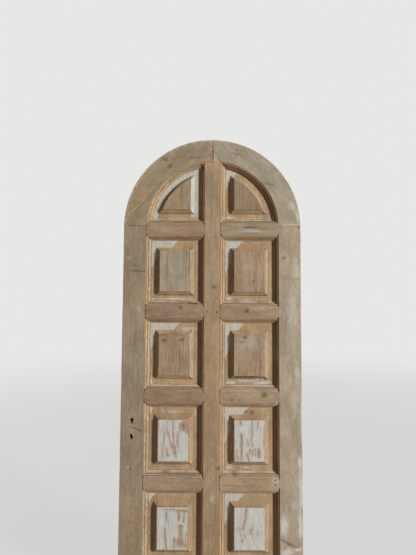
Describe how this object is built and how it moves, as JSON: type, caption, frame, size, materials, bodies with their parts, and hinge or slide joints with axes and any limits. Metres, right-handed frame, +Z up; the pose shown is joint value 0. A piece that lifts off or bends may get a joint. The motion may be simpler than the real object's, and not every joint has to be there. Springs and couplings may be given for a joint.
{
  "type": "arched door leaf",
  "caption": "Round-arched wooden door leaf with moulded stiles, mullion and rails around raised and fielded panels, stripped and worn, with holes left by a removed lock.",
  "frame": {"origin": "middle of the bottom edge, halfway through the thickness", "axes": "+X to the right seen from the front, +Y to the back, +Z up; the moulded front faces -Y"},
  "size_m": [0.9, 0.056, 2.31],
  "materials": {
    "frame_wood": "stripped, dull, with paint remnants",
    "panel_wood": "stripped, dull, with paint remnants",
    "peg_wood": "bare end grain"
  },
  "bodies": {
    "root": {"left_stile": "frame_wood", "right_stile": "frame_wood", "left_arch": "frame_wood", "right_arch": "frame_wood", "mullion": "frame_wood", "bottom_rail": "frame_wood", "left_rail_1": "frame_wood", "left_rail_2": "frame_wood", "left_rail_3": "frame_wood", "left_rail_4": "frame_wood", "right_rail_1": "frame_wood", "right_rail_2": "frame_wood", "right_rail_3": "frame_wood", "right_rail_4": "frame_wood", "left_arch_panel": "panel_wood", "right_arch_panel": "panel_wood", "left_panel_1": "panel_wood", "left_panel_2": "panel_wood", "left_panel_3": "panel_wood", "left_panel_4": "panel_wood", "right_panel_1": "panel_wood", "right_panel_2": "panel_wood", "right_panel_3": "panel_wood", "right_panel_4": "panel_wood", "mullion_pegs": "peg_wood", "left_wedges": "peg_wood", "right_wedges": "peg_wood", "crown_tongue": "peg_wood"}
  },
  "joints": []
}
